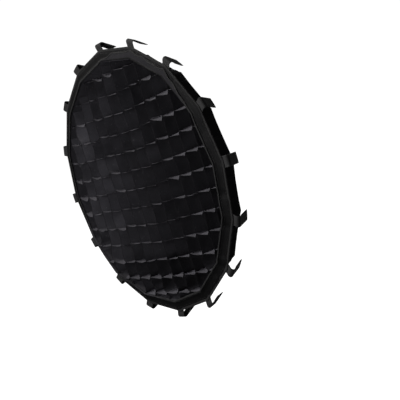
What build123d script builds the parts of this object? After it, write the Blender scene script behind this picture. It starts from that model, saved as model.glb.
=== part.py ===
from build123d import *
import os
from math import cos, pi, radians, sin, tan

# A cloth egg-crate grid for the mouth of a 16-sided softbox.
# +Z is up, the light leaves along -Y, and +Y points back into the softbox.
# The origin is the centre of the plane where the hook tape meets the softbox's rim.

# Driving dimensions, in millimetres
SIDES = 16                   # the softbox has one rod behind each corner
CORNER_RADIUS = 265.0        # centre to an outer corner of the border
PITCH = 37.0                 # one cell, both ways
UPRIGHTS = 12
CROSSES = 13
STRIP_DEPTH = 38.0           # front to back
STRIP_THICKNESS = 0.8
SLIT_CLEARANCE = 0.15        # each side of a strip in its slit
END_CLEARANCE = 0.2          # strip end to wall

WALL_APOTHEM = 239.0         # outer face of the wall
WALL_THICKNESS = 1.2
CELLS_PROUD = 3.0            # the cells stand this far in front of the border

BORDER_THICKNESS = 1.2
BORDER_GAP = 0.2             # border to wall
TAPE_THICKNESS = 1.4         # hook tape, its back face on y = 0
TAPE_WIDTH = 14.5
TAPE_INSET = 1.5             # the tape's inner edge from the wall

HEM_WIDTH = 2.4              # bead on each edge of the wall
HEM_HEIGHT = 2.0

EDGE_TAPE = 0.7              # thickness of the folded edge binding
EDGE_TAPE_LEG = 4.5          # how far it reaches in over the border
CLOTH_GAP = 0.05             # between layers that are sewn together

TAB_WIDTH = 20.0
TAB_THICKNESS = 1.3          # one layer of webbing
TAB_START = 246.0            # radius where the webbing starts behind the border
TAB_END = 271.8              # radius where it starts to fold
TAB_SIDE_GAP = 1.0           # webbing to the tape and binding beside it
HINGE_RADIUS = 274.0         # the fold line
FLAP_THICKNESS = 2.4         # webbing and its hook pad
FLAP_LENGTH = 36.0           # from the fold line
FLAP_CORNER = 3.0
FLAP_LEAN = 25.0             # degrees from the axis, along the softbox's flare

# Derived dimensions
HALF_SIDE = pi / SIDES       # half the angle that one side spans
TO_CORNER = 1 / cos(HALF_SIDE)
BORDER_APOTHEM = CORNER_RADIUS / TO_CORNER
BORDER_BACK = -TAPE_THICKNESS
BORDER_FRONT = BORDER_BACK - BORDER_THICKNESS
CELL_FRONT = BORDER_FRONT - CELLS_PROUD
CELL_BACK = CELL_FRONT + STRIP_DEPTH
CELL_MIDDLE = (CELL_FRONT + CELL_BACK) / 2
WALL_INNER = WALL_APOTHEM - WALL_THICKNESS
PAST = 5.0                   # how far a cutting tool runs past what it cuts


def polar(radius, angle):
    """A point in the X-Z plane."""
    return radius * cos(angle), radius * sin(angle)


def corner_angle(index):
    return 2 * index * HALF_SIDE


def side_angle(index):
    """The direction of the middle of one side."""
    return corner_angle(index) + HALF_SIDE


def prism(points, front, back):
    """A solid with an X-Z outline, from y = front to y = back."""
    outline = Wire.make_polygon([Vector(x, front, z) for x, z in points])
    return extrude(Face(outline), amount=back - front, dir=(0, 1, 0))


def block(x_range, y_range, z_range):
    """A box given by its limits along each axis."""
    size = [high - low for low, high in (x_range, y_range, z_range)]
    centre = [(high + low) / 2 for low, high in (x_range, y_range, z_range)]
    return Pos(*centre) * Box(*size)


def mitred_panel(index, inner, outer, front, back):
    """One side of a 16-sided ring, between two apothems, cut at the corner lines."""
    first = corner_angle(index)
    last = corner_angle(index + 1)
    points = [
        polar(inner * TO_CORNER, first),
        polar(outer * TO_CORNER, first),
        polar(outer * TO_CORNER, last),
        polar(inner * TO_CORNER, last),
    ]
    return prism(points, front, back)


def straight_panel(index, inner, outer, front, back, half_length):
    """A rectangular piece along the middle of one side."""
    angle = side_angle(index)
    points = []
    for radius, along in (
        (inner, -half_length),
        (outer, -half_length),
        (outer, half_length),
        (inner, half_length),
    ):
        x, z = polar(radius, angle)
        points.append((x - along * sin(angle), z + along * cos(angle)))
    return prism(points, front, back)


def ring(inner, outer, front, back):
    """All sides of a ring, as separate mitred panels."""
    return [mitred_panel(i, inner, outer, front, back) for i in range(SIDES)]


def centred_places(count):
    """Evenly pitched places about zero."""
    return [(i - (count - 1) / 2) * PITCH for i in range(count)]


def inside_wall():
    """The space that the strips are cut to."""
    apothem = WALL_INNER - END_CLEARANCE
    corners = [polar(apothem * TO_CORNER, corner_angle(i)) for i in range(SIDES)]
    return prism(corners, CELL_FRONT, CELL_BACK)


def around(place, thickness):
    """The limits of a slab of a given thickness about a place."""
    return place - thickness / 2, place + thickness / 2


def upright_strip(x):
    """A strip that stands at one X, slit from the back for the cross strips."""
    whole = (-CORNER_RADIUS, CORNER_RADIUS)
    strip = block(around(x, STRIP_THICKNESS), (CELL_FRONT, CELL_BACK), whole) & inside_wall()
    slit_width = STRIP_THICKNESS + 2 * SLIT_CLEARANCE
    slit_depth = (CELL_MIDDLE - SLIT_CLEARANCE, CELL_BACK + PAST)
    for z in centred_places(CROSSES):
        strip -= block(around(x, slit_width), slit_depth, around(z, slit_width))
    return strip


def cross_strip(z):
    """A strip that lies at one Z, slit from the front for the uprights."""
    whole = (-CORNER_RADIUS, CORNER_RADIUS)
    strip = block(whole, (CELL_FRONT, CELL_BACK), around(z, STRIP_THICKNESS)) & inside_wall()
    slit_width = STRIP_THICKNESS + 2 * SLIT_CLEARANCE
    slit_depth = (CELL_FRONT - PAST, CELL_MIDDLE + SLIT_CLEARANCE)
    for x in centred_places(UPRIGHTS):
        strip -= block(around(x, slit_width), slit_depth, around(z, slit_width))
    return strip


def perimeter_wall():
    return ring(WALL_INNER, WALL_APOTHEM, CELL_FRONT, CELL_BACK)


def wall_hem(front, back):
    """The sewn bead along one edge of the wall."""
    middle = (WALL_INNER + WALL_APOTHEM) / 2
    return ring(middle - HEM_WIDTH / 2, middle + HEM_WIDTH / 2, front, back)


def border():
    return ring(WALL_APOTHEM + BORDER_GAP, BORDER_APOTHEM, BORDER_FRONT, BORDER_BACK)


def clear_half_length(apothem):
    """Half of the length between the corner tabs along a side at an apothem."""
    return apothem * tan(HALF_SIDE) - (TAB_WIDTH / 2 + TAB_SIDE_GAP) * TO_CORNER


def hook_tape():
    """One straight piece behind each side of the border."""
    inner = WALL_APOTHEM + TAPE_INSET
    half_length = clear_half_length(inner)
    return [
        straight_panel(i, inner, inner + TAPE_WIDTH, BORDER_BACK, 0, half_length)
        for i in range(SIDES)
    ]


def edge_binding():
    """Tape folded over the border's outer edge; its rear leg stops short of each tab."""
    lip_inner = BORDER_APOTHEM + CLOTH_GAP
    lip_outer = lip_inner + EDGE_TAPE
    leg_inner = lip_outer - EDGE_TAPE_LEG
    front_back = BORDER_FRONT - CLOTH_GAP
    front = front_back - EDGE_TAPE
    rear_front = BORDER_BACK + CLOTH_GAP
    sides = []
    for i in range(SIDES):
        front_leg = mitred_panel(i, leg_inner, lip_outer, front, front_back)
        lip = mitred_panel(i, lip_inner, lip_outer, front, rear_front)
        rear_leg = straight_panel(
            i,
            leg_inner,
            lip_outer,
            rear_front,
            rear_front + EDGE_TAPE,
            clear_half_length(leg_inner),
        )
        sides.append(front_leg + lip + rear_leg)
    return sides


def tab_place(index):
    """A corner's frame on the fold line: x along the fold, z out from the centre."""
    angle = corner_angle(index)
    x, z = polar(HINGE_RADIUS, angle)
    out = (cos(angle), 0, sin(angle))
    along = (-sin(angle), 0, cos(angle))
    return Plane(origin=(x, -TAB_THICKNESS / 2, z), x_dir=along, z_dir=out)


def tab_anchor(index):
    """The sewn end of a corner tab, flat behind the border."""
    across = (-TAB_WIDTH / 2, TAB_WIDTH / 2)
    out = (TAB_START - HINGE_RADIUS, TAB_END - HINGE_RADIUS)
    return tab_place(index).location * block(across, around(0, TAB_THICKNESS), out)


def corner_flap(index):
    """The free end of a corner tab, folded back, with a round nose on the fold line."""
    across = (-TAB_WIDTH / 2, TAB_WIDTH / 2)
    tongue = block(across, around(0, FLAP_THICKNESS), (0, FLAP_LENGTH))
    far_edges = tongue.edges().filter_by(Axis.Y).sort_by(Axis.Z)[-2:]
    tongue = fillet(far_edges, FLAP_CORNER)
    nose = Rot(0, 90, 0) * Cylinder(FLAP_THICKNESS / 2, TAB_WIDTH)
    wrapped_back = Rot(90 + FLAP_LEAN, 0, 0)
    return tab_place(index).location * wrapped_back * (tongue + nose)


def write(name, *shapes):
    """Writes one node, as one solid or a group of separate ones."""
    solids = [shape.solids()[0] for shape in shapes]
    node = solids[0] if len(solids) == 1 else Compound(children=solids)
    export_step(node, f"parts/{name}.step")


def main():
    os.makedirs("parts", exist_ok=True)
    for number, x in enumerate(centred_places(UPRIGHTS), 1):
        write(f"upright_strip_{number:02d}", upright_strip(x))
    for number, z in enumerate(centred_places(CROSSES), 1):
        write(f"cross_strip_{number:02d}", cross_strip(z))
    write("perimeter_wall", *perimeter_wall())
    write("front_binding", *wall_hem(CELL_FRONT - HEM_HEIGHT, CELL_FRONT))
    write("rear_binding", *wall_hem(CELL_BACK, CELL_BACK + HEM_HEIGHT))
    write("border", *border())
    write("hook_tape", *hook_tape())
    write("edge_binding", *edge_binding())
    write("tab_anchors", *[tab_anchor(i) for i in range(SIDES)])
    for index in range(SIDES):
        write(f"corner_flap_{index + 1:02d}", corner_flap(index))


main()
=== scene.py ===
from math import atan2, ceil, cos, hypot, pi, radians, sin, tan

import bmesh
import bpy
import numpy as np
from mathutils import Matrix, Vector


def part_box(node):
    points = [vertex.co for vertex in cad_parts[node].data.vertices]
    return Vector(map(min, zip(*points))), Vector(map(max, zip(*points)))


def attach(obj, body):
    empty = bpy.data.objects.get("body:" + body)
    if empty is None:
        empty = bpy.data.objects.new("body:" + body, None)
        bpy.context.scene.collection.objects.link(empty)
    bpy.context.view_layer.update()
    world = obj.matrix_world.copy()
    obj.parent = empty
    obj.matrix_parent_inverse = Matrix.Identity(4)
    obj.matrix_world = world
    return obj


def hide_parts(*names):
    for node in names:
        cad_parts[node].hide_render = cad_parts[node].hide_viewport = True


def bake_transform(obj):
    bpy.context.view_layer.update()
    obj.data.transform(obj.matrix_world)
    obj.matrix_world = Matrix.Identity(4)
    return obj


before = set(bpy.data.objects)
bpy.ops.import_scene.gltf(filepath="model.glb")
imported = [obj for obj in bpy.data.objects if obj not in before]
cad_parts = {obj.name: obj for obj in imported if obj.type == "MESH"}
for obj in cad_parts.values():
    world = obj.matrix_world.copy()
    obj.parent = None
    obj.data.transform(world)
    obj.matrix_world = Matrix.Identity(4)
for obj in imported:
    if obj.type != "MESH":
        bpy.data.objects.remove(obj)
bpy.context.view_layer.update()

scene = bpy.context.scene

# -------- sizes, in metres

MM = 0.001
SIDES = 16
HALF_SIDE = pi / SIDES
TO_CORNER = 1 / cos(HALF_SIDE)


def span(node, axis):
    low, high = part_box(node)
    return low[axis], high[axis]


def middle(node, axis):
    return sum(span(node, axis)) / 2


def named(prefix):
    return sorted(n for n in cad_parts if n.startswith(prefix))


UPRIGHTS = [(n, middle(n, 0)) for n in named("upright_strip_")]
CROSSES = [(n, middle(n, 2)) for n in named("cross_strip_")]
CELL_FRONT, CELL_BACK = span("perimeter_wall", 1)
DEPTH = CELL_BACK - CELL_FRONT
WALL_HALF = 0.6 * MM
WALL_CORNER = span("perimeter_wall", 0)[1]         # the wall's outer face, at a corner
WALL_MIDDLE = WALL_CORNER - WALL_HALF * TO_CORNER  # and the middle of its thickness
WALL_SIDE = 2 * WALL_MIDDLE * sin(HALF_SIDE)
WEAVE_SIDE = 95 * MM                               # a side's length, as its weave counts it
BORDER_CORNER = span("border", 0)[1]
BORDER_FRONT, BORDER_BACK = span("border", 1)
BACKWARD = np.array([0, 1.0, 0])

# -------- the crossed strips

PITCH = UPRIGHTS[1][1] - UPRIGHTS[0][1]
STRIP_STEP = 4.7 * MM       # size of the cloth's mesh
DEEP_STEPS = 8
SEED = 11
SLOT_DEEP = 0.55            # the share of the depth that the cross strips' slots take


def around(corner_radius, turn):
    """Points on a 16-sided outline. One turn unit is one side, from the corner on +X."""
    turn = np.asarray(turn, float)
    side = np.floor(turn)
    share = turn - side
    first = 2 * HALF_SIDE * side
    last = first + 2 * HALF_SIDE
    x = (1 - share) * np.cos(first) + share * np.cos(last)
    z = (1 - share) * np.sin(first) + share * np.sin(last)
    return corner_radius * np.stack([x, z], -1)


def turn_of(x, z):
    """Where a direction meets the 16-sided outline, in sides."""
    angle = atan2(z, x) % (2 * pi)
    side = int(angle / (2 * HALF_SIDE) + 1e-9)
    off_middle = angle - (2 * side + 1) * HALF_SIDE
    return side + 0.5 + tan(off_middle) / (2 * tan(HALF_SIDE))


def smooth(value, low, high):
    t = np.clip((value - low) / (high - low), 0, 1)
    return t * t * (3 - 2 * t)


def front_of(x, z):
    """The y of the strips' front edges: set back at the top right, out at the lower left."""
    radius = np.clip(np.hypot(x, z) / WALL_CORNER, 0, 1)
    crown = 2.2 * MM * (1 - radius ** 2)
    lean = -0.0150 * x - 0.020 * z * smooth(x - z, -0.25, 0.05)
    edge = 4.0 * MM * smooth(-x, 0.11, 0.22)
    sag = 5.0 * MM * smooth(-z, 0.090, 0.165) * np.clip(0.5 - x / 0.3, 0, 1.2)
    belly = 5.0 * MM * np.exp(-((x + 0.205) ** 2 + (z + 0.145) ** 2) / (2 * 0.060 ** 2))
    return -(crown + lean + edge + sag + belly)


def inside(x, z):
    """1 over most of the grid, and down to 0 at the wall, where every strip is straight."""
    return smooth(1 - np.hypot(x, z) / WALL_CORNER, 0.0, 0.14)


def droop(x, z):
    """How far the front of a crossing hangs below its regular place."""
    radius = np.clip(np.hypot(x, z) / WALL_CORNER, 0, 1)
    return 5.0 * MM * (1 - radius ** 2)


def tilt(x, z):
    """How much lower the front of a crossing is than its back."""
    rising = np.clip(0.043 * (z - 0.06) + 0.011 * x - 2.4 * MM, -7.5 * MM, 5.0 * MM)
    low = 5.5 * MM * smooth(-z, 0.13, 0.17)
    right = 5.0 * MM * smooth(x, 0.02, 0.18)
    return (rising + low + right) * inside(x, z)


def turned(x, z):
    """How far right of its front the back of a crossing is: the strips face left or right."""
    left = 5.0 * MM * smooth(-x, 0.08, 0.19) * (1 - smooth(-z, 0.09, 0.14))
    low = -9.0 * MM * smooth(-z, 0.125, 0.165) * smooth(0.16 - x, 0.0, 0.12)
    return (left + low) * inside(x, z)


def reach(place, across_is_x):
    """Half the length of a straight line inside the wall, at a distance from the centre."""
    low, high = 0.0, WALL_CORNER
    for _ in range(40):
        half = (low + high) / 2
        x, z = (place, half) if across_is_x else (half, place)
        angle = atan2(z, x) % (2 * HALF_SIDE) - HALF_SIDE
        within = hypot(x, z) * cos(angle) < WALL_MIDDLE / TO_CORNER
        low, high = (half, high) if within else (low, half)
    return low


def end_turns(place, upright):
    """Where a strip's two ends meet the wall, in sides."""
    half = reach(place, upright)
    return [turn_of(*((place, end) if upright else (end, place))) for end in (-half, half)]


class Net:
    """The strips and the wall as one cloth, sharing points where they cross or are sewn."""

    def __init__(self):
        self.random = np.random.default_rng(SEED)
        self.points, self.known = [], {}
        self.pinned = []
        self.strips = {}
        self.crossing_shift = {}

    def point(self, key, place, pinned):
        if key not in self.known:
            self.known[key] = len(self.points)
            self.points.append(place)
            self.pinned.append(pinned)
        return self.known[key]

    def place(self, x, z, deep):
        """A point of the cloth, from its flat place and its share of the depth."""
        front = float(front_of(x, z))
        back = CELL_BACK + 0.5 * max(0, front - CELL_FRONT)
        return (
            x + float(turned(x, z)) * deep,
            front + (back - front) * deep,
            z - float(droop(x, z)) + float(tilt(x, z)) * deep,
        )

    def shift(self, key):
        """How far a crossing is out of place."""
        if key not in self.crossing_shift:
            x, z = UPRIGHTS[key[0]][1], CROSSES[key[1]][1]
            spread = 1.1 + 1.7 * self.roughness(x, z) * float(inside(x, z))
            self.crossing_shift[key] = self.random.normal(0, spread, 2) * MM
        return self.crossing_shift[key]

    @staticmethod
    def roughness(x, z):
        """How crumpled the cloth is: most on the left and at the top."""
        return smooth(-x, 0.02, 0.2) + 0.6 * smooth(z, 0.08, 0.2)

    def add_strip(self, name, number, upright):
        place = (UPRIGHTS if upright else CROSSES)[number][1]
        others = CROSSES if upright else UPRIGHTS
        half = reach(place, upright)
        stops = [("wall", -half)]
        stops += [(k, c) for k, (_, c) in enumerate(others) if abs(c) < half - 2 * MM]
        stops += [("wall", half)]
        columns = []
        for (key_a, a), (key_b, b) in zip(stops, stops[1:]):
            steps = max(2, round((b - a) / STRIP_STEP))
            slack = (b - a) / PITCH
            front, back, corner = self.slack(upright, (a + b) / 2, place)
            for step in range(1 if columns else 0, steps + 1):
                t = step / steps
                key = key_a if step == 0 else key_b if step == steps else None
                hang = corner * (t / 0.88) ** 1.2 if key is None else 0.0
                columns.append((a + (b - a) * t, key, t, slack * front, slack * back, slack * hang))
        grid = []
        for along, key, t, front, back, hang in columns:
            x, z = (place, along) if upright else (along, place)
            line = []
            for j in range(DEEP_STEPS + 1):
                deep = j / DEEP_STEPS
                side = (front + (back - front) * deep) * sin(pi * t)
                side -= hang * max(0.0, 1 - deep / SLOT_DEEP)
                px, py, pz = self.place(x, z, deep)
                if key == "wall":
                    turn = round(turn_of(x, z), 5)
                    line.append(self.point(("wall", turn % SIDES, j), (px, py, pz), 0))
                elif key is None:
                    moved = (px + side, py, pz) if upright else (px, py, pz + side)
                    line.append(self.point((name, along, j), moved, 0))
                else:
                    pair = (number, key) if upright else (key, number)
                    dx, dz = self.shift(pair) * (1 - 0.6 * deep)
                    line.append(self.point((pair, j), (px + dx, py, pz + dz), 0))
            grid.append(line)
        self.strips[name] = np.array(grid)

    def slack(self, upright, along, place):
        """How far a strip's front and back edges bow out of line in one cell.

        The strips are slotted into each other from the front, so a cross strip's front
        corner, beside the next upright, can hang as well: that is the third number.
        """
        x, z = (place, along) if upright else (along, place)
        rough = self.roughness(x, z)
        if upright:
            front = self.random.normal(0, 1.6 + 2.8 * rough)
            return front * MM, self.random.normal(0, 1.2) * MM, 0.0
        right = smooth(x, -0.02, 0.17)
        low = smooth(-z, 0.12, 0.18)
        front = 0.4 - self.random.uniform(0.0, 1.0 + 0.8 * right)
        fold = self.random.random() < 0.30 * rough
        front -= self.random.uniform(3.0, 7.0) * fold
        hangs = self.random.random() < 0.3 + 0.7 * max(right, low)
        corner = self.random.uniform(0.45, 1.15) * (3.2 + 3.3 * max(right, 0.4 * low)) * hangs
        corner += self.random.uniform(3.0, 7.0) * fold
        return front * MM, self.random.normal(0.2, 0.7) * MM, corner * MM

    def add_wall(self):
        """The wall's columns: its corners, the strips' ends and points between."""
        turns = {k[1] for k in self.known if k[0] == "wall"} | set(range(SIDES))
        stops = sorted(turns) + [float(SIDES)]
        kept = [stops[0]]
        for a, b in zip(stops, stops[1:]):
            steps = max(1, ceil((b - a) * WALL_SIDE / (6 * MM)))
            kept += [a + (b - a) * s / steps for s in range(1, steps + 1)]
        grid = []
        for turn in kept[:-1]:
            x, z = around(WALL_MIDDLE, turn)
            corner = abs(turn - round(turn)) < 1e-6
            lip = max(LIP_FRONT, min(CELL_FRONT, float(front_of(x, z)) - 1.5 * MM))
            line = [self.point(("lip", turn), (x, lip, z), 1.0)]
            for j in range(DEEP_STEPS + 1):
                deep = j / DEEP_STEPS
                pinned = 0.6 if corner and j == DEEP_STEPS else 0.0
                key = ("wall", round(float(turn), 5) % SIDES, j)
                index = self.point(key, self.place(x, z, deep), pinned)
                self.pinned[index] = pinned
                line.append(index)
            grid.append(line)
        self.wall = np.array(grid + grid[:1])
        self.wall_turns = np.array(kept)

    def faces(self):
        quads = []
        for grid in [*self.strips.values(), self.wall]:
            a, b = grid[:-1, :-1], grid[1:, :-1]
            c, d = grid[1:, 1:], grid[:-1, 1:]
            quads.append(np.stack([a, b, c, d], -1).reshape(-1, 4))
        return np.concatenate(quads)


GRAVITY = (-1.10, -2.74, -9.36)      # the grid is used tilted down and turned in its plane
CLOTH_FRAMES = 20
CLOTH_CAP = 12 * MM                  # no point of the cloth moves further than this
LIP_FRONT = -16.8 * MM               # how far forward the wall's front edge may start
CLOTH_FRONT = -17.0 * MM             # nor further forward than this


def settle(net):
    """Lets the strips hang as cloth between the points that are sewn."""
    rest = np.array(net.points)
    mesh = bpy.data.meshes.new("net")
    mesh.from_pydata(rest.tolist(), [], net.faces().tolist())
    cloth = bpy.data.objects.new("net", mesh)
    scene.collection.objects.link(cloth)
    group = cloth.vertex_groups.new(name="pinned")
    for index, weight in enumerate(net.pinned):
        if weight > 0:
            group.add([index], weight, "REPLACE")
    modifier = cloth.modifiers.new("Cloth", "CLOTH")
    settings = modifier.settings
    settings.quality = 5
    settings.mass = 0.001
    settings.tension_stiffness = 40
    settings.compression_stiffness = 40
    settings.shear_stiffness = 20
    settings.bending_stiffness = 0.6
    settings.tension_damping = 10
    settings.compression_damping = 10
    settings.air_damping = 2
    settings.vertex_group_mass = "pinned"
    settings.pin_stiffness = 4
    scene.gravity = GRAVITY
    modifier.point_cache.frame_start = 1
    modifier.point_cache.frame_end = CLOTH_FRAMES
    for number in range(1, CLOTH_FRAMES + 1):
        scene.frame_set(number)
    shown = cloth.evaluated_get(bpy.context.evaluated_depsgraph_get()).to_mesh()
    moved = np.zeros(len(rest) * 3)
    shown.vertices.foreach_get("co", moved)
    scene.frame_set(1)
    bpy.data.objects.remove(cloth)
    offset = moved.reshape(-1, 3) - rest
    size = np.linalg.norm(offset, axis=1, keepdims=True)
    placed = rest + offset * np.minimum(1, CLOTH_CAP / np.maximum(size, 1e-9))
    placed[:, 1] = np.maximum(placed[:, 1], CLOTH_FRONT)
    return placed


net = Net()
for number, (name, _) in enumerate(UPRIGHTS):
    net.add_strip(name, number, True)
for number, (name, _) in enumerate(CROSSES):
    net.add_strip(name, number, False)
net.add_wall()
settled = settle(net)

# -------- building cloth meshes


def spline(points, at, closed=False):
    """A smooth line through points, read at places counted in points."""
    count = len(points)
    if closed:
        padded = np.concatenate([points[-1:], points, points[:2]])
        first = np.floor(at).astype(int) % count
    else:
        ends = 2 * points[:1] - points[1:2], 2 * points[-1:] - points[-2:-1]
        padded = np.concatenate([ends[0], points, ends[1]])
        first = np.clip(np.floor(at).astype(int), 0, count - 2)
    t = (at - (np.floor(at) if closed else first)).reshape(-1, *[1] * (points.ndim - 1))
    a, b, c, d = (padded[first + k] for k in range(4))
    return b + 0.5 * t * (c - a + t * (2 * a - 5 * b + 4 * c - d + t * (3 * (b - c) + d - a)))


def unit(vectors):
    return vectors / np.maximum(np.linalg.norm(vectors, axis=-1, keepdims=True), 1e-12)


def lengths(line):
    """The distance along a line to each of its points after the first."""
    return np.cumsum(np.linalg.norm(np.diff(line, axis=0), axis=1))


def slopes(grid, axis, closed=False):
    if closed:
        return np.roll(grid, -1, axis) - np.roll(grid, 1, axis)
    return np.gradient(grid, axis=axis)


def mark(piece, key, numbers):
    """Puts one named number on each of a piece's points, for its material to read."""
    layer = piece.data.attributes.new(key, "FLOAT", "POINT")
    layer.data.foreach_set("value", np.asarray(numbers, np.float32).ravel())


def build(name, points, faces, values=None):
    """A smooth-shaded mesh piece, with named values on its points."""
    mesh = bpy.data.meshes.new(name)
    mesh.from_pydata(np.asarray(points).reshape(-1, 3).tolist(), [], faces)
    mesh.polygons.foreach_set("use_smooth", [True] * len(mesh.polygons))
    mesh.update()
    piece = bpy.data.objects.new(name, mesh)
    scene.collection.objects.link(piece)
    for key, numbers in (values or {}).items():
        mark(piece, key, numbers)
    return piece


def loft(sections, closed=False):
    """Faces between closed sections of the same number of points, numbered row by row."""
    count, size = sections
    faces = []
    for i in range(count if closed else count - 1):
        a, b = i * size, (i + 1) % count * size
        for j in range(size):
            k = (j + 1) % size
            faces.append((a + j, a + k, b + k, b + j))
    return faces


def cloth_piece(name, grid, half, along, deep, closed=False, flip=False):
    """A closed sheet of cloth about a grid of points, with rounded edges."""
    half = np.broadcast_to(half, grid.shape[:2])[..., None]
    across = unit(slopes(grid, 1))
    normal = unit(np.cross(slopes(grid, 0, closed), slopes(grid, 1)))
    if flip:
        normal = -normal
    top, bottom = grid + normal * half, grid - normal * half
    front = grid[:, :1] - across[:, :1] * half[:, :1]
    back = grid[:, -1:] + across[:, -1:] * half[:, -1:]
    points = np.concatenate([front, top, back, bottom[:, ::-1]], 1)
    deep = np.broadcast_to(deep, grid.shape[:2])
    deep = np.concatenate([deep[:, :1], deep, deep[:, -1:], deep[:, ::-1]], 1)
    along = np.broadcast_to(np.asarray(along)[:, None], deep.shape)
    faces = loft(points.shape[:2], closed)
    if not closed:
        size, rows = points.shape[1], grid.shape[1]
        for first in (0, (len(points) - 1) * size):
            caps = [(0, 1, size - 1), (rows, rows + 1, rows + 2)]
            caps += [(j, j + 1, size - 1 - j, size - j) for j in range(1, rows)]
            for cap in caps:
                cap = tuple(first + k for k in cap)
                faces.append(cap if first == 0 else cap[::-1])
    return build(name, points, faces, {"along": along, "deep": deep})


def seal(piece):
    """Turns every face of a closed piece outwards."""
    work = bmesh.new()
    work.from_mesh(piece.data)
    bmesh.ops.recalc_face_normals(work, faces=work.faces)
    work.to_mesh(piece.data)
    work.free()
    return piece


def stitches(name, runs, length, width, height, gap):
    """Thread along smooth lines. A run is (points, normals): one closed bead a stitch."""
    ring = 4
    points, faces = [], []
    for line, normals in runs:
        reached = np.concatenate([[0], lengths(line)])
        count = int(reached[-1] // (length + gap))
        for k in range(count):
            middle_at = (k + 0.5) * reached[-1] / count
            ends = np.clip([middle_at - length / 2, middle_at + length / 2], 0, reached[-1])
            centre, a, b = (
                np.array([np.interp(s, reached, line[:, i]) for i in range(3)])
                for s in (middle_at, *ends)
            )
            up = unit(np.array([np.interp(middle_at, reached, normals[:, i]) for i in range(3)]))
            ahead = unit(b - a)
            side = unit(np.cross(ahead, up))
            first = len(points)
            points.append(a)
            for share in (-0.55, 0.55):
                middle_point = centre + ahead * share * length / 2 * 1.3
                for corner in range(ring):
                    angle = 2 * pi * corner / ring
                    points.append(
                        middle_point + side * cos(angle) * width / 2 + up * sin(angle) * height / 2
                    )
            points.append(b)
            last = first + 2 * ring + 1
            for corner in range(ring):
                one, two = first + 1 + corner, first + 1 + (corner + 1) % ring
                faces.append((first, two, one))
                faces.append((one, two, two + ring, one + ring))
                faces.append((last, one + ring, two + ring))
    return build(name, points, faces)


# -------- the strips

CLOTH_HALF = 0.25 * MM
EDGE_HALF = 0.27 * MM        # the melted bead that a hot knife leaves
EDGE_DEEP = 0.8 * MM
FLANGE = 8 * MM              # a strip's end, folded over and sewn to the wall's outside
FLANGE_OUT = WALL_HALF + 0.45 * MM
ROWS = [0, 0.6, 1.3, 3.2, 5.8, 8.6, 11.6, 14.8, 18.2, 21.8, 25.6, 29.4, 33, 35.8, 37.4, 38]
ROWS = np.array(ROWS) * MM
ROWS = ROWS * (DEPTH / ROWS[-1])
THICK = np.where((ROWS < EDGE_DEEP) | (DEPTH - ROWS < EDGE_DEEP), EDGE_HALF, CLOTH_HALF)
THICK[[0, -1]] *= 0.8
REFINE = 1.5                 # columns of the shown cloth for each one of the simulated cloth
ROW_SLIP = 0.2 * MM          # how far forward of the row before it a row of the wall may be

wall_grid = settled[net.wall[:-1]]
slip = ROW_SLIP * np.arange(DEEP_STEPS + 2)
wall_grid[..., 1] = np.maximum.accumulate(wall_grid[..., 1] + slip, 1) - slip
sewn_rows = spline(wall_grid.transpose(1, 0, 2), 1 + ROWS / DEPTH * DEEP_STEPS).transpose(1, 0, 2)
sewn_out = unit(np.cross(slopes(sewn_rows, 1), slopes(sewn_rows, 0, True)))
OUT_SIGN = np.sign(sewn_out[0, len(ROWS) // 2, 0])
sewn_out = sewn_out * OUT_SIGN


def on_wall(turn, out):
    """A column of points on the wall, a distance outside its middle."""
    place = np.interp(turn % SIDES, net.wall_turns, np.arange(len(net.wall_turns)))
    at = np.array([place % (len(net.wall_turns) - 1)])
    return (spline(sewn_rows, at, True) + out * unit(spline(sewn_out, at, True)))[0]


def strip_cloth(name, number, upright):
    """One strip, from the simulated cloth, with its ends folded against the wall."""
    grid = settled[net.strips[name]]
    grid = spline(grid.transpose(1, 0, 2), ROWS / DEPTH * DEEP_STEPS).transpose(1, 0, 2)
    spans = len(grid) - 1
    fine = spline(grid, np.linspace(0, spans, round(spans * REFINE) + 1))
    place = (UPRIGHTS if upright else CROSSES)[number][1]
    first, last = (
        np.array([
            on_wall(turn + shift / WALL_SIDE, FLANGE_OUT)
            for shift in (0.9 * MM, 3 * MM, 5.5 * MM, FLANGE)
        ])
        for turn in end_turns(place, upright)
    )
    columns = np.concatenate([first[::-1], fine, last])
    along = np.concatenate([[0], lengths(columns[:, len(ROWS) // 2])]) + 0.7 * number
    sewn = np.zeros(len(columns))
    sewn[:len(first)] = sewn[-len(last):] = 1
    return columns, along, sewn


STRIP_PIECES = []
for nodes_of, upright in ((UPRIGHTS, True), (CROSSES, False)):
    for number, (node_name, _) in enumerate(nodes_of):
        columns, along, sewn = strip_cloth(node_name, number, upright)
        piece_name = node_name.replace("strip", "cloth")
        piece = seal(cloth_piece(piece_name, columns, THICK, along, ROWS))
        mark(piece, "other_shade", np.repeat(sewn, len(piece.data.vertices) // len(columns)))
        STRIP_PIECES.append((piece, node_name, along[-1] - along[0]))

# -------- the wall and the border

RING_STEPS = 24
RING_TURNS = np.arange(0, SIDES, 1 / RING_STEPS)
RING_ALONG = RING_TURNS * 2 * BORDER_CORNER * sin(HALF_SIDE)


def ring_points(apothems, heights):
    """Points round the 16 sides, from an outline across them: one row a turn."""
    apothems = np.broadcast_to(apothems, (len(RING_TURNS), np.shape(apothems)[-1]))
    heights = np.broadcast_to(heights, apothems.shape)
    flat = np.stack([around(1, t) for t in RING_TURNS])[:, None]
    flat = flat * (apothems * TO_CORNER)[..., None]
    return np.stack([flat[..., 0], heights, flat[..., 1]], -1)


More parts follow.
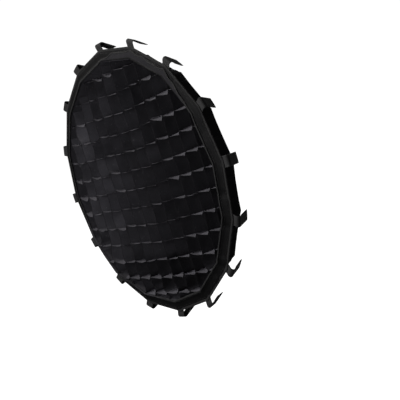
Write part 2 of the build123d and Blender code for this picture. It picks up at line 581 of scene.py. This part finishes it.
def ring_band(name, apothems, heights):
    """A closed band round the 16 sides, from its closed outline."""
    points = ring_points(apothems, heights)
    faces = loft(points.shape[:2], True)
    along = np.broadcast_to(RING_ALONG[:, None], points.shape[:2])
    deep = np.concatenate([[0], lengths(np.stack([apothems, heights], -1))])
    deep = np.broadcast_to(deep, points.shape[:2])
    return seal(build(name, points, faces, {"along": along, "deep": deep}))


def rounded(low, high, front, back, bend, steps=4):
    """A rounded rectangle's outline, as apothems and heights."""
    apothems, heights = [], []
    for corner, (a, y) in enumerate(((high, back), (low, back), (low, front), (high, front))):
        centre_a = a - bend if a == high else a + bend
        centre_y = y - bend if y == back else y + bend
        for step in range(steps + 1):
            angle = pi / 2 * (corner + step / steps)
            apothems.append(centre_a + bend * cos(angle))
            heights.append(centre_y + bend * sin(angle))
    return np.array(apothems), np.array(heights)


BORDER_INNER = WALL_CORNER / TO_CORNER + 0.1 * MM
BORDER_OUTER = BORDER_CORNER / TO_CORNER - 0.3 * MM
BORDER_MIDDLE = (BORDER_FRONT + BORDER_BACK) / 2
BORDER_ROWS = np.concatenate([np.linspace(0, 0.4, 9)[:-1], np.linspace(0.4, 1, 9)])
border_random = np.random.default_rng(SEED + 1)
wall_ends = sorted({k[1] for k in net.known if k[0] == "wall"})
crown = 4 * BORDER_ROWS * (1 - BORDER_ROWS)
off_corner = np.abs(RING_TURNS - np.round(RING_TURNS))
pucker = np.zeros((len(RING_TURNS), len(BORDER_ROWS)))
for turn in wall_ends:
    near = (RING_TURNS - turn + SIDES / 2) % SIDES - SIDES / 2
    strength = border_random.uniform(0.15, 0.6) * MM
    pucker += strength * np.exp(-(near[:, None] / 0.05) ** 2) * (1 - BORDER_ROWS) ** 1.5
wave = sum(
    border_random.uniform(0.2, 0.6) * MM
    * np.sin(RING_TURNS * 2 * pi / SIDES * count + border_random.uniform(0, 2 * pi))
    for count in (5, 9, 17, 29, 43)
)
crease = np.zeros_like(pucker)
for _ in range(30):
    turn, slant = border_random.uniform(0, SIDES), border_random.uniform(-0.08, 0.08)
    near = RING_TURNS[:, None] + slant * BORDER_ROWS - turn
    near = (near + SIDES / 2) % SIDES - SIDES / 2
    deepest = border_random.uniform(0.4, 1.3) * MM
    crease += deepest * np.exp(-(near / 0.045) ** 2) * (0.3 + crown)
seam = 0.45 * MM * np.exp(-(off_corner / 0.014) ** 2)
roll = 2.6 * MM * smooth(-BORDER_ROWS, -0.36, 0.0) ** 1.2 + 3.4 * MM * (1 - BORDER_ROWS)
lift = crown * (0.8 * MM + wave[:, None]) - pucker - crease
lift = lift - seam[:, None] * (0.4 + 0.6 * crown) + roll
border_grid = ring_points(
    BORDER_INNER + (BORDER_OUTER - BORDER_INNER) * BORDER_ROWS, BORDER_MIDDLE - lift)
border_cloth = seal(cloth_piece(
    "border_cloth", border_grid, 0.5 * MM, RING_ALONG,
    (BORDER_OUTER - BORDER_INNER) * BORDER_ROWS, closed=True))

FLARE_SHARES = (1.0, 0.8, 0.6, 0.42, 0.26, 0.12)
WALL_ROWS = np.concatenate([[0, 0.3, 0.7], 1 + ROWS[1::2] / DEPTH * DEEP_STEPS, [1 + DEEP_STEPS]])
flare_random = np.random.default_rng(SEED + 4)


def border_front(turns, away):
    """The y of the border's front surface, a distance outside its inner edge."""
    rows = np.clip(away / (BORDER_OUTER - BORDER_INNER), 0, 1)
    place = np.clip(np.interp(rows, BORDER_ROWS, np.arange(len(BORDER_ROWS))), 0, len(BORDER_ROWS) - 1)
    near = np.round(turns * RING_STEPS).astype(int) % len(RING_TURNS)
    low = np.floor(place).astype(int)
    high = np.minimum(low + 1, len(BORDER_ROWS) - 1)
    share = place - low
    return BORDER_MIDDLE - 0.5 * MM - (lift[near, low] * (1 - share) + lift[near, high] * share)


def flared():
    """The wall's front edge, turned out over the border: widest at the top right."""
    turns = net.wall_turns[:-1]
    high = smooth(turns, 0.7, 2.2) * (1 - smooth(turns, 3.4, 4.2))
    pleats = sum(
        flare_random.uniform(0.5, 1.0) * np.sin(turns * count + flare_random.uniform(0, 2 * pi))
        for count in (3.1, 7.3, 12.7, 19.0)
    )
    width = (1.2 + (13.0 + 1.2 * pleats) * high) * MM
    lip = wall_grid[:, 0]
    out = unit(lip * (1, 0, 1))
    rows = []
    for share in FLARE_SHARES:
        ripple = 0.25 * pleats + flare_random.normal(0, 0.18, len(turns))
        ripple = ripple * MM * high * sin(pi * share)
        lying = border_front(turns, share * width + 0.5 * MM) - 1.0 * MM - np.abs(ripple)
        level = lip[:, 1] + (np.minimum(lying, lip[:, 1] + 6 * MM) - lip[:, 1]) * smooth(share, 0, 0.5)
        row = lip + out * (share * width)[:, None]
        row[:, 1] = level
        rows.append(row)
    return np.stack(rows, 1)


wall_rows = spline(wall_grid.transpose(1, 0, 2), WALL_ROWS).transpose(1, 0, 2)
wall_rows = np.concatenate([flared(), wall_rows], 1)
wall_out = unit(np.cross(slopes(wall_rows, 1), slopes(wall_rows, 0, True))) * OUT_SIGN
wall_steps = np.linalg.norm(np.diff(wall_rows, axis=1, prepend=wall_rows[:, :1]), axis=2)
WALL_ALONG = net.wall_turns[:-1] * WEAVE_SIDE
wall_cloth = seal(cloth_piece(
    "wall_cloth", wall_rows, WALL_HALF, WALL_ALONG, np.cumsum(wall_steps, axis=1), closed=True))


def lit_inner_face():
    """1 on the points of the wall's inner face behind its turned edge, which are painted lighter than
    the rest of the wall as painted light.
    """
    points = np.array([v.co for v in wall_cloth.data.vertices]).reshape(len(wall_rows), -1, 3)
    count = wall_rows.shape[1]
    behind_edge = np.arange(count) >= len(FLARE_SHARES)
    lit_inner = np.zeros(points.shape[:2])
    for first, way in ((1, 1), (count + 2, -1)):
        offset = points[:, first:first + count] - wall_rows[:, ::way]
        faces_in = (offset * wall_out[:, ::way]).sum(-1) < 0
        lit_inner[:, first:first + count] = faces_in & behind_edge[::way]
    return lit_inner


# painted light: the wall's inner face, in the shade inside the grid, gets a lighter colour than its
# outer face
mark(wall_cloth, "other_shade", lit_inner_face())

EDGE_OUTER = span("edge_binding", 0)[1] / TO_CORNER
EDGE_FRONT, EDGE_BACK = span("edge_binding", 1)
edge_a, edge_y = rounded(EDGE_OUTER - 5.2 * MM, EDGE_OUTER, EDGE_FRONT, EDGE_BACK, 1.0 * MM)
edge_tape = ring_band("edge_tape", edge_a, edge_y)


def follow_wall(name, row, thick, tall, reach_over):
    """A folded tape over one edge of the wall."""
    line = wall_rows[:, row]
    inward = wall_rows[:, 3 if row == 0 else -3] - line
    away = -unit(inward)
    out = wall_out[:, row]
    outline = [
        (thick, -reach_over), (thick, 0.3 * tall), (0.62 * thick, 0.8 * tall), (0, tall),
        (-0.62 * thick, 0.8 * tall), (-thick, 0.3 * tall), (-thick, -reach_over), (0, -reach_over),
    ]
    points = np.stack([line + out * o + away * a for o, a in outline], 1)
    along = np.broadcast_to(WALL_ALONG[:, None], points.shape[:2])
    deep = np.broadcast_to(np.arange(len(outline)) * 1.2 * MM, points.shape[:2])
    return seal(build(name, points, loft(points.shape[:2], True), {"along": along, "deep": deep}))


front_tape = follow_wall("front_tape", 0, 1.0 * MM, 0.8 * MM, 2.5 * MM)
rear_tape = follow_wall("rear_tape", -1, 1.25 * MM, 1.2 * MM, 6 * MM)

# -------- the hook tape and its hooks

TAPE_LOW, TAPE_HIGH = 240.5 * MM, 255 * MM
TAPE_FRONT = span("hook_tape", 1)[0]
TAPE_COLUMNS = 20
TAB_HALF = 10 * MM
HOOK_RADII = np.array([0.17, 0.15, 0.13, 0.07]) * MM
HOOK_SIDES = 3


def ways(angle):
    """The directions outward and along the rim, at an angle round it."""
    return np.array([cos(angle), 0, sin(angle)]), np.array([-sin(angle), 0, cos(angle)])


side_half = TAPE_LOW * tan(HALF_SIDE) - (TAB_HALF + 1 * MM) * TO_CORNER
tape_grid, tape_faces, tape_values = [], [], {"along": [], "deep": []}
hook_points, hook_faces = [], []
hook_random = np.random.default_rng(SEED + 2)
for side_number in range(SIDES):
    out, along_side = ways((2 * side_number + 1) * HALF_SIDE)
    base_low, base_high = TAPE_FRONT + 0.02 * MM, TAPE_FRONT + 0.75 * MM
    outline_a, outline_y = rounded(TAPE_LOW, TAPE_HIGH, base_low, base_high, 0.3 * MM, 2)
    first = len(tape_grid)
    for u in np.linspace(-side_half, side_half, TAPE_COLUMNS):
        for a, y in zip(outline_a, outline_y):
            tape_grid.append(out * a + along_side * u + BACKWARD * y)
            tape_values["along"].append(u)
            tape_values["deep"].append(a - TAPE_LOW)
    size = len(outline_a)
    bands = loft((TAPE_COLUMNS, size))
    tape_faces += [tuple(first + k for k in face) for face in bands]
    tape_faces.append(tuple(first + k for k in range(size)))
    last = first + (TAPE_COLUMNS - 1) * size
    tape_faces.append(tuple(last + k for k in reversed(range(size))))
    for u in np.arange(-side_half + 1.4 * MM, side_half - 1 * MM, 2.1 * MM):
        for a in np.arange(TAPE_LOW + 1.8 * MM, TAPE_HIGH - 1.4 * MM, 1.9 * MM):
            du, da = hook_random.normal(0, 0.12 * MM, 2)
            foot = out * (a + da) + along_side * (u + du) + BACKWARD * base_high
            lean = out * hook_random.choice([-1, 1])
            spine = [
                foot + BACKWARD * up * MM + lean * over * MM
                for up, over in ((-0.1, 0.0), (0.38, 0.05), (0.56, 0.35), (0.30, 0.55))
            ]
            start = len(hook_points)
            for k, (p, r) in enumerate(zip(spine, HOOK_RADII)):
                ahead = unit(spine[min(k + 1, 3)] - spine[max(k - 1, 0)])
                other = np.cross(ahead, along_side)
                for c in range(HOOK_SIDES):
                    turned_by = 2 * pi * c / HOOK_SIDES
                    hook_points.append(
                        p + along_side * cos(turned_by) * r + other * sin(turned_by) * r)
            bands = loft((len(spine), HOOK_SIDES))
            hook_faces += [tuple(start + k for k in face) for face in bands]
            hook_faces.append((start, start + 2, start + 1))
            hook_faces.append((start + 9, start + 10, start + 11))
hook_tape = seal(build("hook_tape_cloth", tape_grid, tape_faces, tape_values))
hooks = seal(build("tape_hooks", hook_points, hook_faces))

# -------- the corner tabs

HINGE = 274 * MM
TAB_Y = -0.65 * MM
LEAN = radians(25)
WEB_HALF = 0.62 * MM
TAB_PIECES, PAD_PIECES, TAB_GRIDS = [], [], []


def tab_path():
    """The webbing's line in (radius, y): flat behind the border, round the rim, then back."""
    points = [(246, -0.65), (251, -0.65), (256, -0.65), (261, -0.7), (264.5, -1.0), (268, -1.9),
              (272, -3.0), (275.2, -2.9), (277.2, -1.2), (277.6, 1.2), (277.0, 3.6)]
    r, y = points[-1]
    points += [(r - sin(LEAN) * d, y + cos(LEAN) * d) for d in range(3, 31, 3)]
    points = np.array(points, float) * MM
    return spline(points, np.linspace(0, len(points) - 1, 42))


TAB_LINE = tab_path()
TAB_ACROSS = np.array([-10, -9.6, -8.4, -6, -3, 0, 3, 6, 8.4, 9.6, 10]) * MM
tab_random = np.random.default_rng(SEED + 3)
for number in range(SIDES):
    out, across = ways(2 * HALF_SIDE * number)
    path = TAB_LINE[:, :1] * out + TAB_LINE[:, 1:] * BACKWARD
    grid = path[:, None] + TAB_ACROSS[:, None] * across
    steps = np.concatenate([[0], lengths(path)])
    free = smooth(steps, 0.036, 0.066)
    flare = -out * cos(LEAN) - BACKWARD * sin(LEAN)
    curl = tab_random.uniform(-0.7, 0.9) * MM
    twist = tab_random.uniform(-0.5, 0.5) * MM
    cup = tab_random.uniform(0.1, 0.35) * MM
    share = TAB_ACROSS / TAB_ACROSS[-1]
    move = free[:, None] * (curl + twist * share)
    move = move + smooth(steps, 0.034, 0.044)[:, None] * cup * share ** 2
    grid = grid + move[..., None] * flare
    half = np.full((len(path), len(TAB_ACROSS)), WEB_HALF)
    half[:, [0, -1]] *= 0.6
    half[[0, -1]] *= 0.7
    name = f"corner_tab_{number + 1:02d}"
    tab = seal(cloth_piece(name, grid, half, steps + number * 0.013, TAB_ACROSS))
    hinge = out * HINGE + BACKWARD * TAB_Y
    away = BACKWARD * cos(LEAN) - out * sin(LEAN)
    blend_ends = (hinge - out * 2.2 * MM, hinge + away * 3.0 * MM)
    TAB_PIECES.append((tab, number, *blend_ends))
    TAB_GRIDS.append((grid, half, steps))

    normal = unit(np.cross(across, unit(path[-1] - path[-2])))
    if normal @ out > 0:
        normal = -normal
    first_row = np.searchsorted(steps, steps[-1] - 26 * MM)
    pad_lines = np.linspace(first_row, len(path) - 2.5, 14)
    centre_line = spline(grid, pad_lines)
    columns = np.linspace(1, len(TAB_ACROSS) - 2, 9)
    pad_grid = spline(centre_line.transpose(1, 0, 2), columns).transpose(1, 0, 2)
    pad_normal = unit(np.cross(slopes(pad_grid, 0), slopes(pad_grid, 1)))
    if pad_normal[3, 3] @ normal < 0:
        pad_normal = -pad_normal
    pad_grid = pad_grid + pad_normal * (WEB_HALF + 0.50 * MM)
    pad_half = np.full(pad_grid.shape[:2], 0.45 * MM)
    pad_half[[0, -1]] *= 0.6
    pad_half[:, [0, -1]] *= 0.6
    pad = seal(cloth_piece(
        f"hook_pad_{number + 1:02d}", pad_grid, pad_half,
        np.arange(14) * 2 * MM, np.arange(9) * 2 * MM))
    PAD_PIECES.append((pad, number))

# -------- sewing

SEW_TURNS = np.arange(0, SIDES + 0.001, 1 / 12)
LONG_STITCH = (2.6 * MM, 0.34 * MM, 0.3 * MM, 0.7 * MM)      # length, width, height, gap
SHORT_STITCH = (2.0 * MM, 0.34 * MM, 0.3 * MM, 0.6 * MM)


def ring_seam(away):
    """A seam on the border's front, a distance outside its inner edge."""
    place = np.stack([around(1, t) for t in SEW_TURNS])
    apothem = BORDER_INNER + away
    y = border_front(SEW_TURNS % SIDES, np.full(len(SEW_TURNS), away)) - 0.12 * MM
    line = np.stack([place[:, 0] * apothem * TO_CORNER, y, place[:, 1] * apothem * TO_CORNER], -1)
    return line, np.tile([0.0, -1.0, 0.0], (len(line), 1))


def wall_seam(row, side):
    """A seam round the wall, a row of points down its depth, outside or inside."""
    out = wall_out[:, row] * side
    line = wall_rows[:, row] + out * (WALL_HALF + 0.1 * MM)
    return np.concatenate([line, line[:1]]), np.concatenate([out, out[:1]])


def end_seams():
    """Two seams across every strip's end, on the wall's outside."""
    runs = []
    for nodes_of, upright in ((UPRIGHTS, True), (CROSSES, False)):
        for _, place in nodes_of:
            for end_turn in end_turns(place, upright):
                for shift in (2.4 * MM, FLANGE - 1.6 * MM):
                    turn = end_turn + shift / WALL_SIDE
                    line = on_wall(turn, FLANGE_OUT + CLOTH_HALF + 0.12 * MM)
                    runs.append((line[1:-1], unit(line - on_wall(turn, 0))[1:-1]))
    return runs


def tab_seams(grid, half, rows, side):
    """A sewn box with a cross in it, on one face of a tab's webbing."""
    normal = unit(np.cross(slopes(grid, 0), slopes(grid, 1))) * side
    skin = grid + normal * (half[..., None] + 0.1 * MM)
    first, last = rows
    low, high = 1.6, grid.shape[1] - 2.6
    corners = [(first, low), (first, high), (last, high), (last, low)]
    paths = [(corners[k], corners[(k + 1) % 4]) for k in range(4)]
    paths += [(corners[0], corners[2]), (corners[1], corners[3])]
    runs = []
    for (i0, j0), (i1, j1) in paths:
        steps = np.linspace(0, 1, 12)
        i, j = i0 + (i1 - i0) * steps, j0 + (j1 - j0) * steps
        runs.append(tuple(
            np.stack([spline(spline(field, np.array([a]))[0], np.array([b]))[0] for a, b in zip(i, j)])
            for field in (skin, normal)
        ))
    return runs


border_thread = stitches(
    "border_thread", [ring_seam(3.0 * MM), ring_seam(BORDER_OUTER - BORDER_INNER - 6.4 * MM)],
    *LONG_STITCH)
wall_seams = [wall_seam(len(FLARE_SHARES) + 4, 1), wall_seam(-4, 1), wall_seam(-4, -1)]
wall_thread = stitches("wall_thread", wall_seams + end_seams(), *LONG_STITCH)

anchor_seams, PAD_THREADS = [], []
for number, (grid, half, steps) in enumerate(TAB_GRIDS):
    anchor_seams += tab_seams(grid, half, (0.8, 6.0), -1)
    pad_rows = (np.searchsorted(steps, steps[-1] - 24 * MM), len(steps) - 2.6)
    PAD_THREADS.append(stitches(
        f"pad_thread_{number + 1:02d}", tab_seams(grid, half, pad_rows, 1), *SHORT_STITCH))
anchor_thread = stitches("anchor_thread", anchor_seams, *SHORT_STITCH)

# -------- materials


class Shader:
    """A material with one Principled shader, built node by node."""

    def __init__(self, name, **constants):
        self.material = bpy.data.materials.new(name)
        self.material.use_nodes = True
        self.tree = self.material.node_tree
        self.shader = self.tree.nodes["Principled BSDF"]
        for socket, value in constants.items():
            self.shader.inputs[socket.replace("_", " ")].default_value = value

    def node(self, kind, values=None, output=0, **settings):
        made = self.tree.nodes.new("ShaderNode" + kind)
        for key, value in settings.items():
            setattr(made, key, value)
        for key, value in (values or {}).items():
            if isinstance(value, bpy.types.NodeSocket):
                self.tree.links.new(value, made.inputs[key])
            else:
                made.inputs[key].default_value = value
        return made.outputs[output]

    def math(self, operation, a, b=0.0):
        return self.node("Math", {0: a, 1: b}, operation=operation)

    def attribute(self, name):
        return self.node("Attribute", output=2, attribute_name=name)

    def noise(self, scale, detail=3.0, roughness=0.55):
        place = self.node("TexCoord", output=3)
        return self.node("TexNoise", {
            "Vector": place, "Scale": scale, "Detail": detail, "Roughness": roughness})

    def ramp(self, value, low, high, to_low=0.0, to_high=1.0):
        return self.node("MapRange", {
            0: value, 1: low, 2: high, 3: to_low, 4: to_high}, interpolation_type="SMOOTHSTEP")

    def mix(self, share, first, second):
        return self.node("Mix", {0: share, 6: first, 7: second}, output=2, data_type="RGBA")

    def weave(self, pitch):
        """A plain weave's height: threads that pass over and under each other."""
        u = self.math("MULTIPLY", self.attribute("along"), 1 / pitch)
        v = self.math("MULTIPLY", self.attribute("deep"), 1 / pitch)
        square = self.math("ADD", self.math("FLOOR", u), self.math("FLOOR", v))
        over = self.math("FLOORED_MODULO", square, 2.0)
        warp = self.math("ABSOLUTE", self.math("SINE", self.math("MULTIPLY", u, pi)))
        weft = self.math("ABSOLUTE", self.math("SINE", self.math("MULTIPLY", v, pi)))
        difference = self.math("MULTIPLY", self.math("SUBTRACT", warp, weft), over)
        return self.math("ADD", weft, difference)

    def ribs(self, name, pitch):
        turned = self.math("MULTIPLY", self.attribute(name), pi / pitch)
        return self.math("ABSOLUTE", self.math("SINE", turned))

    def finish(self, colour, roughness, height=None, distance=0.1 * MM, strength=0.6):
        self.tree.links.new(colour, self.shader.inputs["Base Color"])
        self.tree.links.new(roughness, self.shader.inputs["Roughness"])
        if height is not None:
            bump = self.node("Bump", {
                "Strength": strength, "Distance": distance, "Height": height})
            self.tree.links.new(bump, self.shader.inputs["Normal"])
        return self.material


def grey(level, tint=(1.0, 1.0, 1.0)):
    return (*[level * t for t in tint], 1.0)


COOL = (0.99, 0.96, 1.08)


def fabric(name, level, pitch, sheen, gloss, rough, shaded_edges_at=None, other_level=None):
    """Woven cloth: thread, uneven dye and dust, with painted shade on its cut edges and a second
    colour where other_shade is set.
    """
    made = Shader(
        name, Sheen_Weight=sheen, Sheen_Roughness=0.35, Sheen_Tint=grey(1.0, COOL),
        Specular_IOR_Level=gloss)
    weave = made.weave(pitch)
    cloud = made.noise(24.0, 4.0)
    fine = made.noise(900.0, 2.0)
    lint = made.ramp(made.noise(310.0, 1.0), 0.70, 0.78)
    base = made.mix(made.ramp(cloud, 0.32, 0.68), grey(level * 0.78, COOL), grey(level * 1.25, COOL))
    threads = made.mix(made.ramp(weave, 0.2, 0.9), grey(level * 0.55, COOL), base)
    dust_and_painted_shading = made.mix(made.math("MULTIPLY", lint, 0.35), threads, grey(level * 4.0))
    # painted shade: near the front and back cut edges the colour is darkened nearly to black, so that
    # the lamps don't light the edges as bright lines
    if shaded_edges_at is not None:
        low, high = shaded_edges_at
        deep = made.attribute("deep")
        front = made.ramp(deep, low, low + 1.4 * MM, 1.0, 0.0)
        back = made.ramp(deep, high - 1.4 * MM, high, 0.0, 1.0)
        edge = made.math("MAXIMUM", front, back)
        painted_edge_shade = made.math("MULTIPLY", edge, made.ramp(fine, 0.3, 0.7, 0.8, 1.0))
        dust_and_painted_shading = made.mix(made.math("MULTIPLY", painted_edge_shade, 0.95), dust_and_painted_shading, grey(level * 0.08, COOL))
    if other_level is not None:
        # a second colour where other_shade is set: the strips' sewn ends take the wall's colour, and
        # the wall's inner face takes a lighter colour as painted light
        dust_and_painted_shading = made.mix(made.attribute("other_shade"), dust_and_painted_shading, grey(other_level, COOL))
    roughness = made.ramp(cloud, 0.3, 0.7, rough[0], rough[1])
    height = made.math("ADD", weave, made.math("MULTIPLY", fine, 0.5))
    return made.finish(dust_and_painted_shading, roughness, height, 0.12 * MM, 0.5)


def webbing(name, level, pitch):
    """Ribbed tape, unevenly dyed."""
    made = Shader(name, Sheen_Weight=0.02, Sheen_Roughness=0.45, Specular_IOR_Level=0.06)
    rib = made.ribs("along", pitch)
    other = made.ribs("deep", pitch * 1.7)
    cloud = made.noise(60.0, 3.0)
    fine = made.noise(1200.0, 2.0)
    base = made.mix(made.ramp(cloud, 0.3, 0.7), grey(level * 0.8), grey(level * 1.3))
    ribbed = made.mix(made.ramp(rib, 0.1, 0.9), grey(level * 0.45), base)
    roughness = made.ramp(fine, 0.3, 0.7, 0.6, 0.85)
    height = made.math("ADD", rib, made.math("MULTIPLY", other, 0.35))
    return made.finish(ribbed, roughness, height, 0.2 * MM, 0.7)


def plastic_hooks(name, level):
    """Moulded plastic, a little glossy."""
    made = Shader(name, Specular_IOR_Level=0.2)
    cloud = made.noise(400.0, 2.0)
    base = made.mix(made.ramp(cloud, 0.3, 0.7), grey(level * 0.7), grey(level * 1.4))
    return made.finish(base, made.ramp(cloud, 0.3, 0.7, 0.32, 0.5), cloud, 0.05 * MM, 0.4)


def thread(name, level):
    """Twisted thread."""
    made = Shader(name, Sheen_Weight=0.02, Specular_IOR_Level=0.1)
    twist = made.noise(1500.0, 1.0)
    cloud = made.noise(80.0, 2.0)
    base = made.mix(made.ramp(cloud, 0.3, 0.7), grey(level * 0.8), grey(level * 1.3))
    return made.finish(base, made.ramp(twist, 0.3, 0.7, 0.4, 0.6), twist, 0.06 * MM, 0.6)


STRIP_LEVEL = 0.0208         # the cloths' base colours: black, and near black
WALL_LEVEL = 0.0045
# a lighter colour for the wall's inner face: painted light
INNER_FACE_LIGHT_LEVEL = 0.010
# the strips' front and back edges get painted shade
strip_material = fabric(
    "strip fabric", STRIP_LEVEL, 0.42 * MM, sheen=0.012, gloss=0.02, rough=(0.7, 0.85),
    shaded_edges_at=(0.0, DEPTH), other_level=WALL_LEVEL)
wall_material = fabric(
    "wall fabric", WALL_LEVEL, 0.48 * MM, sheen=0.01, gloss=0.02, rough=(0.7, 0.85),
    other_level=INNER_FACE_LIGHT_LEVEL)
border_material = fabric(
    "border fabric", 0.0004, 0.55 * MM, sheen=0.0, gloss=0.03, rough=(0.6, 0.8))
binding_material = webbing("binding tape", 0.0012, 0.8 * MM)
lip_material = webbing("wall binding tape", 0.0012, 0.8 * MM)
tab_material = webbing("tab webbing", 0.0035, 1.3 * MM)
hook_material = plastic_hooks("hook plastic", 0.008)
tape_material = webbing("hook tape ground", 0.006, 0.9 * MM)
thread_material = thread("sewing thread", 0.0035)


def dress(piece, material, body="grid"):
    piece.data.materials.append(material)
    if body:
        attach(piece, body)
    return piece


# -------- dressing, and attaching to bodies

for piece, node_name, length in STRIP_PIECES:
    dress(piece, strip_material)
    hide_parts(node_name)

for piece, material, slot_name, node_name in (
    (wall_cloth, wall_material, "wall_cloth", "perimeter_wall"),
    (border_cloth, border_material, "border_cloth", "border"),
    (edge_tape, binding_material, "binding_tape", "edge_binding"),
    (front_tape, lip_material, "binding_tape", "front_binding"),
    (rear_tape, binding_material, "binding_tape", "rear_binding"),
    (hook_tape, tape_material, "hook_tape", "hook_tape"),
):
    dress(piece, material)
    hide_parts(node_name)
dress(hooks, hook_material)
dress(border_thread, thread_material)
dress(wall_thread, thread_material)

for tab, number, start, end in TAB_PIECES:
    dress(tab, tab_material, body=None)
    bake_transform(tab)
    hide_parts(f"corner_flap_{number + 1:02d}", "tab_anchors")
for pad, number in PAD_PIECES:
    dress(pad, tape_material, f"flap_{number + 1:02d}")
dress(anchor_thread, thread_material)
for number, sewn_box in enumerate(PAD_THREADS):
    dress(sewn_box, thread_material, f"flap_{number + 1:02d}")

# -------- floor, light and camera

def floor_plane(size, height):
    mesh = bpy.data.meshes.new("floor")
    work = bmesh.new()
    bmesh.ops.create_grid(work, x_segments=4, y_segments=4, size=size)
    work.to_mesh(mesh)
    work.free()
    floor = bpy.data.objects.new("floor", mesh)
    floor.location.z = height
    scene.collection.objects.link(floor)
    made = Shader("floor", Roughness=0.9)
    made.shader.inputs["Base Color"].default_value = grey(0.95)
    made.shader.inputs["Emission Color"].default_value = grey(1.0)
    made.shader.inputs["Emission Strength"].default_value = 0.9
    mesh.materials.append(made.material)
    floor.visible_diffuse = False
    floor.visible_glossy = False


def area_light(name, place, towards, size, power, colour=(1, 1, 1)):
    data = bpy.data.lights.new(name, "AREA")
    data.shape = "RECTANGLE"
    data.size, data.size_y = size
    data.energy = power
    data.color = colour
    light = bpy.data.objects.new(name, data)
    light.location = place
    direction = Vector(towards) - Vector(place)
    light.rotation_euler = direction.to_track_quat("-Z", "Y").to_euler()
    scene.collection.objects.link(light)


floor_plane(30.0, -1.1)
scene.view_settings.view_transform = "Standard"


def studio(front, back):
    """White to the camera, and for light: dim in front of the object and bright behind it."""
    world = bpy.data.worlds.new("studio")
    world.use_nodes = True
    tree = world.node_tree
    background = tree.nodes["Background"]
    background.inputs["Color"].default_value = grey(1.0)
    way = tree.nodes.new("ShaderNodeTexCoord")
    split = tree.nodes.new("ShaderNodeSeparateXYZ")
    tree.links.new(way.outputs["Generated"], split.inputs[0])
    blend = tree.nodes.new("ShaderNodeMapRange")
    blend.interpolation_type = "SMOOTHSTEP"
    for socket, value in ((1, -0.1), (2, 0.5), (3, front), (4, back)):
        blend.inputs[socket].default_value = value
    tree.links.new(split.outputs["Y"], blend.inputs[0])
    seen = tree.nodes.new("ShaderNodeLightPath")
    choose = tree.nodes.new("ShaderNodeMix")
    tree.links.new(seen.outputs["Is Camera Ray"], choose.inputs[0])
    tree.links.new(blend.outputs[0], choose.inputs[2])
    choose.inputs[3].default_value = 1.05
    tree.links.new(choose.outputs[0], background.inputs["Strength"])
    scene.world = world


studio(0.22, 0.42)
area_light("key", (-0.45, -0.75, 1.25), (0.0, 0.0, 0.0), (0.6, 0.4), 68, (1.0, 0.98, 0.95))
area_light("fill", (0.12, -0.85, 0.12), (-0.15, 0.0, 0.1), (0.5, 0.5), 25, (0.98, 0.97, 1.0))

CAMERA_PLACE = Vector((1.361, -0.8818, 0.0606))
CAMERA_AZIMUTH = radians(53.566)
CAMERA_DIP = radians(4.511)
CAMERA_ROLL = radians(16.935)
CAMERA_LENS = 74.9           # millimetres, as Blender counts lenses
camera_data = bpy.data.cameras.new("camera")
camera_data.lens = CAMERA_LENS
camera_data.sensor_width = 36
camera_data.clip_start = 0.05
camera = bpy.data.objects.new("camera", camera_data)
forward = Vector((
    -sin(CAMERA_AZIMUTH) * cos(CAMERA_DIP), cos(CAMERA_AZIMUTH) * cos(CAMERA_DIP), -sin(CAMERA_DIP)))
right = forward.cross(Vector((0, 0, 1))).normalized()
level_up = right.cross(forward)
up = level_up * cos(CAMERA_ROLL) + right * sin(CAMERA_ROLL)
right = forward.cross(up)
camera.matrix_world = Matrix.Translation(CAMERA_PLACE) @ Matrix((
    (right.x, up.x, -forward.x), (right.y, up.y, -forward.y), (right.z, up.z, -forward.z))).to_4x4()
scene.collection.objects.link(camera)
scene.camera = camera
